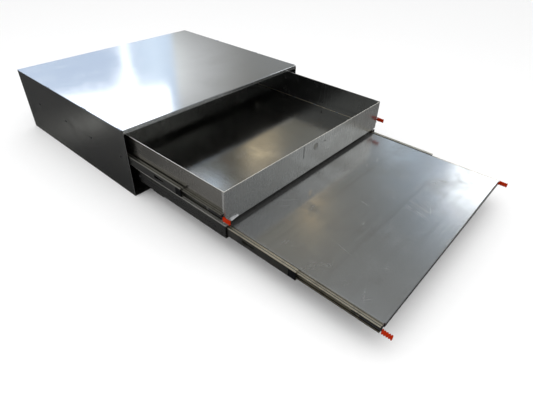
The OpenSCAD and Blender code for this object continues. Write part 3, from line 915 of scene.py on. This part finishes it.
@dataclass
class Tray:
    """The drawer's open tray: five sheets, floor welds, a bright seam bead as painted highlight, dark
    hole rims as painted shade and a remnant of film.
    """

    finishes: Finishes
    weld_count: int = 6
    side_margin: float = 70 * MM
    front_margin: float = 60 * MM
    weld_length: float = 18 * MM
    weld_radius: float = 1.5 * MM
    seam_radius: float = 0.9 * MM
    small_hole: Vector = field(default_factory=lambda: Vector((55 * MM, 0, 1.7 * MM)))
    small_hole_radius: float = 2.2 * MM
    rim_wide: float = 1.1 * MM
    rim_wall: float = 0.15 * MM
    curl_turns: float = 0.62
    curl_radius: float = 3.3 * MM
    film_drop: float = 5.5 * MM
    film_wall: float = 0.12 * MM

    def build(self) -> None:
        """Dresses the sheets and adds the small pieces."""
        f = self.finishes
        dress(f.tray_side, "tray_left_wall")
        # The right wall takes the darker sheet, a painted shade.
        dress(f.tray_far_side, "tray_right_wall")
        dress(f.tray_floor, "tray_floor")
        dress(f.tray_front, "tray_front", "tray_back")
        dress(f.oxide, "tray_slide_screws")
        round_edges(0.65 * MM, "tray_left_wall", "tray_right_wall", "tray_front", "tray_back")
        self.floor_welds()
        self.floor_seam()
        self.hole_rims()
        self.film_curl()

    def floor_welds(self) -> None:
        """Small beads where the floor meets the walls."""
        mesh = bmesh.new()
        low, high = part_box("tray_floor")
        for side in Side:
            for y in spread(low.y, high.y, self.side_margin, self.weld_count):
                self.stitch(mesh, Vector((side.outer(low, high), y, high.z)), Along.Y)
        for x in spread(low.x, high.x, self.front_margin, self.weld_count + 1):
            self.stitch(mesh, Vector((x, low.y, high.z)), Along.X)
        finish_piece("tray_floor_welds", mesh, "drawer", self.finishes.weld)

    def floor_seam(self) -> None:
        """A thin bright bead where the floor meets the side walls and the back, a painted highlight along
        their joint.
        """
        mesh = bmesh.new()
        low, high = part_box("tray_floor")
        front_left, back_left = Vector((low.x, low.y, high.z)), Vector((low.x, high.y, high.z))
        front_right, back_right = Vector((high.x, low.y, high.z)), Vector((high.x, high.y, high.z))
        for start, end in ((front_left, back_left), (front_right, back_right), (back_left, back_right)):
            add_rod(mesh, start, end, self.seam_radius)
        finish_piece("tray_floor_seam", mesh, "drawer", self.finishes.seam)

    def stitch(self, mesh: bmesh.types.BMesh, at: Vector, along: Along) -> None:
        """Adds one weld stitch.

        Args:
            mesh: The bmesh to add to.
            at: The stitch's centre.
            along: The axis that it runs along.
        """
        bead = bmesh.new()
        bmesh.ops.create_uvsphere(bead, u_segments=12, v_segments=8, radius=1.0)
        size = [self.weld_radius, self.weld_radius, self.weld_radius * 0.8]
        size[along.value] = self.weld_length / 2
        add_mesh(mesh, bead, Matrix.Translation(at) @ Matrix.Diagonal((*size, 1.0)))

    def hole_rims(self) -> None:
        """A low raised ring round the lock hole and the small hole, drawn black as painted shade along
        their edges.
        """
        mesh = bmesh.new()
        lock = next(m for m in frame["record"]["mounts"] if m["name"] == "lock_hole")
        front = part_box("tray_front")[0].y
        centre = Vector(lock["pos_m"])
        small = centre + self.small_hole
        for at, radius in ((centre, lock["dims"]["r_mm"] * MM), (small, self.small_hole_radius)):
            wide = min(self.rim_wide, radius * 0.35)
            profile = [(radius + wide * k, wide * 0.32 * math.sin(math.pi * k))
                       for k in (0.0, 0.2, 0.45, 0.7, 1.0)]
            add_lathe(mesh, profile, Vector((at.x, front, at.z)), Vector((0, -1, 0)), 40)
        # Painted shade: the rims take the black oxide finish to stand in for the shade at the holes'
        # edges.
        rims = finish_piece("tray_front_hole_rims", mesh, "drawer", self.finishes.oxide)
        thicken(rims, self.rim_wall)

    def film_curl(self) -> None:
        """A curled remnant of protective film at the lower left corner of the front."""
        mesh = bmesh.new()
        low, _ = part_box("tray_front")
        start = Vector((low.x + 20 * MM, low.y - 0.6 * MM, low.z + 13 * MM))
        waves = [Vector((i * 5 * MM, -0.2 * MM * math.sin(i * 1.7), 0.9 * MM * math.sin(i * 0.9)))
                 for i in range(7)]
        along = [mesh.verts.new(start + wave) for wave in waves]
        edges = [mesh.edges.new(pair) for pair in zip(along, along[1:])]
        swept = bmesh.ops.extrude_edge_only(mesh, edges=edges)["geom"]
        hem = [v for v in swept if isinstance(v, bmesh.types.BMVert)]
        bmesh.ops.translate(mesh, vec=(0, -0.3 * MM, -self.film_drop), verts=hem)
        hem_edges = [e for e in swept if isinstance(e, bmesh.types.BMEdge)]
        centre = start - Vector((0, 0.3 * MM + self.curl_radius, self.film_drop))
        bmesh.ops.spin(mesh, geom=hem + hem_edges, cent=centre, axis=(1, 0.05, 0.03),
                       angle=-math.tau * self.curl_turns, steps=14)
        film = finish_piece("film_remnant", mesh, "drawer", self.finishes.film, 80.0)
        thicken(film, self.film_wall)


@dataclass
class Carriage:
    """The frame under the tray that holds the table's slides."""

    finishes: Finishes

    def build(self) -> None:
        """Dresses the channels and rails."""
        f = self.finishes
        # The carriage finish is painted darker as shade.
        dress(f.carriage, *both("carriage"), "carriage_back", "carriage_front_bearer",
              "carriage_rear_bearer", "carriage_bottom_straps")
        dress(f.oxide, "carriage_slide_screws")
        round_edges(0.4 * MM, *both("carriage"))
        self.strap_rivets()

    def strap_rivets(self) -> None:
        """Pan heads that hold the straps under the channels."""
        mesh = bmesh.new()
        low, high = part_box("carriage_bottom_straps")
        head = [(0.0, 2.0 * MM), (1.6 * MM, 1.9 * MM), (3.0 * MM, 1.4 * MM), (3.8 * MM, 0.5 * MM),
                (4.0 * MM, 0.0), (0.0, 0.0)]
        for x in (low.x + 10 * MM, high.x - 10 * MM):
            for share in (0.04, 0.12, 0.88, 0.96):
                y = low.y + share * (high.y - low.y)
                add_lathe(mesh, head, Vector((x, y, low.z)), -UP, 20)
        finish_piece("strap_rivets", mesh, "drawer", self.finishes.rivet)


@dataclass
class Table:
    """The slide-out table and its stiffeners."""

    finishes: Finishes

    def build(self) -> None:
        """Dresses the table."""
        f = self.finishes
        dress(f.table, "table_top")
        # The stiffeners share the carriage finish, painted darker as shade.
        dress(f.carriage, "table_front_stiffener", "table_rear_stiffener")
        dress(f.oxide, "table_slide_screws")
        round_edges(0.5 * MM, "table_top")


@dataclass
class SlidePair:
    """The left and right telescopic slides of the drawer or of the table."""

    finishes: Finishes
    owner: str
    flange: Colour = (0.50, 0.49, 0.44)
    wall: float = 1.8 * MM
    ball_radius: float = 2.0 * MM
    block_thick: float = 4.4 * MM
    rib: float = 0.6 * MM
    rib_high: float = 2.2 * MM
    rib_count: int = 4

    def build(self) -> None:
        """Dresses the members and adds their small pieces."""
        f = self.finishes
        outer_row, inner_row = (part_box(f"{self.owner}_{row}_balls")[1].x - self.ball_radius
                                for row in ("outer", "inner"))
        greased = {"grease": 0.5, "roughness": 0.36}
        looks = {"outer": (inner_row, greased), "middle": (outer_row, {}), "inner": (inner_row, greased)}
        for member, (race, changes) in looks.items():
            nodes = both(f"{self.owner}_slide_{member}")
            low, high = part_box(nodes[0])
            zinc = ZincSteel(f"{self.owner}_{member}_zinc", self.flange, race, low.z + self.wall,
                             high.z - self.wall, **changes)
            dress(zinc.material(), *nodes)
        dress(f.cage, *both(f"{self.owner}_outer_cage"), *both(f"{self.owner}_inner_cage"))
        dress(f.balls, f"{self.owner}_outer_balls", f"{self.owner}_inner_balls")
        dress(f.rivet, f"{self.owner}_lever_pivots")
        dress(f.oxide, *both(f"{self.owner}_lever"))
        self.end_blocks()
        for side in Side:
            self.lever_grip(side)

    def end_blocks(self) -> None:
        """Moulded blocks in the cut-outs at the middle members' front ends."""
        mesh = bmesh.new()
        node = f"{self.owner}_slide_end_blocks"
        low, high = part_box(node)
        pitch = (high.z - low.z) / (self.rib_count + 0.5)
        for side in Side:
            outer = side.outer(low, high)
            face = outer - side.value * self.rib
            add_block(mesh, (face, low.y, low.z),
                      (outer - side.value * self.block_thick, high.y, high.z), 0.6 * MM)
            for i in range(self.rib_count):
                z = low.z + (i + 0.75) * pitch
                add_block(mesh, (outer - side.value * 0.05 * MM, low.y + 3 * MM, z),
                          (face - side.value * self.rib, high.y - 3 * MM, z + self.rib_high), 0.3 * MM, 2)
        piece = finish_piece(f"{self.owner}_slide_end_blocks_moulded", mesh, f"{self.owner}_middle",
                             self.finishes.black)
        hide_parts(node)

    def lever_grip(self, side: Side) -> None:
        """A dipped grip: tapered, with finger ridges and a swollen tip.

        Args:
            side: Which slide's lever it is on.
        """
        node = f"{self.owner}_lever_grip_{side.word}"
        low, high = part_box(node)
        size = high - low
        grip = bmesh.new()
        core = Matrix.Diagonal((0.75 * size.x, size.y, 0.86 * size.z, 1.0))
        bmesh.ops.create_cube(grip, size=1.0, matrix=core)
        long_edges = [e for e in grip.edges
                      if abs((e.verts[0].co - e.verts[1].co).normalized().y) > 0.9]
        bmesh.ops.subdivide_edges(grip, edges=long_edges, cuts=13, use_grid_fill=True)
        for vert in grip.verts:
            way = vert.co.y / size.y + 0.5
            ridge = 0.5 - 0.5 * math.cos(way * math.tau * 4.5)
            vert.co.z *= (0.84 + 0.10 * way) * (1.0 + 0.035 * ridge)
            if 0.1 < way < 0.9:
                vert.co.x *= 1.0 + 0.14 * ridge
        bevel(grip, [e for e in grip.edges if e.calc_face_angle(0.0) > 0.9], 1.1 * MM, 3)
        turn = Matrix.Rotation(math.pi if side is Side.RIGHT else 0.0, 4, "Y")
        place = Matrix.Translation((low + high) / 2) @ turn
        bmesh.ops.transform(grip, matrix=place, verts=grip.verts)
        piece = finish_piece(f"{node}_dipped", grip, f"{self.owner}_lever_{side.word[0]}",
                             self.finishes.orange, 60.0)
        rounding = piece.modifiers.new("rounding", "SUBSURF")
        rounding.levels = rounding.render_levels = 1
        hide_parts(node)


# ---------------------------------------------------------------- studio


@dataclass(frozen=True)
class Card:
    """A soft panel in the studio, placed by the direction it is seen in, in degrees."""

    azimuth: float
    elevation: float
    half_wide: float
    half_high: float
    blur_wide: float
    blur_high: float
    colour: Colour
    strength: float = 1.0
    covers: bool = False


@dataclass
class Studio:
    """Camera, floor, soft light and the panels that the steel mirrors."""

    lens: float = 27.862
    sensor: float = 36.0
    place: Vector = field(default_factory=lambda: Vector((-1.0417, -1.5280, 0.8958)))
    right: Vector = field(default_factory=lambda: Vector((0.66699, -0.74464, 0.02590)))
    forward: Vector = field(default_factory=lambda: Vector((0.60530, 0.52124, -0.60162)))

    def cards(self) -> list[Card]:
        """The panels that the sheets mirror.

        Returns:
            The panels, each laid over the ones before it.
        """
        return [
            Card(54.0, 20.0, 4.0, 5.0, 8.0, 4.0, (0.97, 1.0, 1.05), 0.85),
            Card(74.5, 22.0, 20.5, 17.0, 0.5, 4.0, (0.74, 0.90, 1.17), covers=True),
            Card(56.5, 17.0, 1.5, 5.0, 4.5, 3.0, (0.36, 0.42, 0.40)),
            Card(60.2, 18.0, 0.35, 8.0, 0.7, 3.0, WHITE, 1.6),
            Card(60.8, 20.6, 1.2, 1.0, 1.2, 1.5, WHITE, 1.0),
            Card(66.0, 33.0, 10.9, 11.5, 0.6, 0.5, WHITE, 2.0),
            Card(24.0, 39.0, 14.0, 10.0, 5.0, 6.0, (0.185, 0.19, 0.18), covers=True),
            Card(38.0, 25.0, 5.0, 3.0, 3.0, 3.0, (0.17, 0.17, 0.14), covers=True),
            Card(40.0, 44.0, 6.0, 5.0, 6.0, 5.0, (0.14, 0.13, 0.09), covers=True),
            Card(49.2, 32.0, 5.0, 3.5, 1.2, 1.5, (0.10, 0.09, 0.065), covers=True),
            Card(50.3, 36.8, 1.8, 1.6, 1.0, 1.3, (1.9, 2.4, 3.1)),
            Card(41.8, 30.0, 1.9, 2.0, 2.0, 2.0, (1.15, 0.90, 0.48)),
            Card(32.6, 37.6, 1.1, 0.9, 1.6, 1.6, (2.5, 1.7, 0.65)),
            Card(31.0, 41.5, 1.5, 1.5, 3.5, 3.0, (0.24, 0.17, 0.06)),
            Card(5.6, 27.0, 7.0, 5.5, 0.8, 0.8, WHITE, 3.2),
            Card(15.6, 28.8, 0.5, 0.5, 0.9, 0.9, WHITE, 2.6),
            Card(15.6, 31.3, 0.6, 0.6, 0.9, 0.9, WHITE, 1.6),
            Card(10.0, 29.0, 6.0, 6.0, 9.0, 9.0, (0.12, 0.30, 0.56)),
            Card(20.5, 26.0, 2.5, 1.5, 3.2, 3.2, (1.4, 1.75, 2.1)),
            Card(-52.0, 40.0, 11.0, 7.0, 9.0, 5.0, (0.03, 0.03, 0.03), covers=True),
            Card(-28.0, 28.0, 8.0, 5.0, 10.0, 7.0, (1.0, 1.0, 0.97), 1.05),
            Card(-26.0, -28.0, 9.0, 6.0, 4.0, 4.0, (1.0, 1.0, 0.97), 0.24),
            Card(-7.0, -28.0, 6.0, 3.5, 4.0, 5.0, (1.0, 0.99, 0.93), 0.24),
            Card(114.0, -24.8, 3.0, 0.8, 4.0, 1.8, (1.0, 1.0, 0.95), 0.42),
        ]

    def build(self) -> None:
        """Builds the camera, the floor and the light."""
        self.camera()
        self.floor()
        self.world()
        self.softbox("overhead_softbox", Vector((-0.6, -0.9, 2.6)), Vector((0.0, -0.4, 0.1)), 2.2, 18.0)
        self.softbox("left_softbox", Vector((-2.6, -0.4, 1.3)), Vector((0.0, -0.4, 0.1)), 1.4, 7.0)

    def camera(self) -> None:
        """The camera, set by its place and its axes."""
        data = bpy.data.cameras.new("camera")
        data.lens, data.sensor_width = self.lens, self.sensor
        camera = bpy.data.objects.new("camera", data)
        bpy.context.scene.collection.objects.link(camera)
        ahead = self.forward.normalized()
        across = (self.right - ahead * self.right.dot(ahead)).normalized()
        up = across.cross(ahead)
        axes = Matrix((across, up, -ahead)).transposed()
        camera.matrix_world = Matrix.Translation(self.place) @ axes.to_4x4()
        bpy.context.scene.camera = camera

    def floor(self) -> None:
        """A wide pale floor that the steel doesn't mirror."""
        mesh = bmesh.new()
        bmesh.ops.create_grid(mesh, x_segments=1, y_segments=1, size=14.0)
        data = bpy.data.meshes.new("floor")
        mesh.to_mesh(data)
        mesh.free()
        data.materials.append(MattFloor("pale_floor").material())
        floor = bpy.data.objects.new("floor", data)
        bpy.context.scene.collection.objects.link(floor)
        floor.location.z = -0.5 * MM
        floor.visible_glossy = False

    def world(self) -> None:
        """Pale surroundings for the camera and the diffuse light, with panels that the steel mirrors."""
        world = bpy.data.worlds.new("studio")
        bpy.context.scene.world = world
        world.use_nodes = True
        paint = Paint(world.node_tree)
        x, y, z = paint.split(paint.node("TexCoord").outputs["Generated"])
        degrees = 180.0 / math.pi
        azimuth = y.maths("ARCTAN2", x) * degrees
        elevation = z.maths("ARCSINE") * degrees
        upper = paint.blend(azimuth.step(36.0, 46.0), (0.30, 0.315, 0.33), (0.29, 0.295, 0.29))
        lit = azimuth.step(120.0, 134.0) * elevation.step(-43.0, -34.0) * 0.30
        lower = self.grey(paint, lit + elevation.step(-36.0, -22.0) * 0.035 + 0.022)
        seen = paint.blend(elevation.step(-4.0, 6.0), lower, upper)
        for card in self.cards():
            wide = self.inside(azimuth, card.azimuth, card.half_wide, card.blur_wide)
            high = self.inside(elevation, card.elevation, card.half_high, card.blur_high)
            glow = tuple(c * card.strength for c in card.colour)
            if not card.covers:
                glow = paint.blend(1.0, seen, glow, "ADD")
            seen = paint.blend(wide * high, seen, glow)
        glossy = paint.node("LightPath").outputs["Is Glossy Ray"]
        sky = paint.node("Background", Color=paint.blend(glossy, WHITE, seen))
        paint.node("OutputWorld", Surface=sky.outputs[0])

    def inside(self, angle: Value, centre: float, half: float, blur: float) -> Value:
        """Where an angle is within a panel's blurred sides."""
        return angle.distance(centre).step(half + blur, half - blur)

    def grey(self, paint: Paint, value: Value) -> bpy.types.NodeSocket:
        """A value as a grey colour."""
        return paint.node("CombineColor", Red=value, Green=value, Blue=value).outputs[0]

    def softbox(self, name: str, place: Vector, aim: Vector, size: float, power: float) -> None:
        """Adds a square soft light that the steel doesn't mirror.

        Args:
            name: The light's name.
            place: Where it hangs.
            aim: Where it points.
            size: Length of its side.
            power: Its power in watts.
        """
        data = bpy.data.lights.new(name, "AREA")
        data.shape, data.size, data.energy = "SQUARE", size, power
        light = bpy.data.objects.new(name, data)
        light.location = place
        light.rotation_mode = "QUATERNION"
        light.rotation_quaternion = (aim - place).to_track_quat("-Z", "Y")
        light.visible_glossy = False
        bpy.context.scene.collection.objects.link(light)


def main() -> None:
    """Builds the studio and then each sub-assembly in turn."""
    logging.basicConfig(level=logging.INFO, format="%(message)s")
    bpy.context.scene.view_settings.view_transform = "Standard"
    Studio().build()
    finishes = Finishes()
    Housing(finishes).build()
    Tray(finishes).build()
    Carriage(finishes).build()
    Table(finishes).build()
    SlidePair(finishes, "drawer").build()
    SlidePair(finishes, "table", (0.84, 0.77, 0.62)).build()


if __name__ == "__main__":
    main()
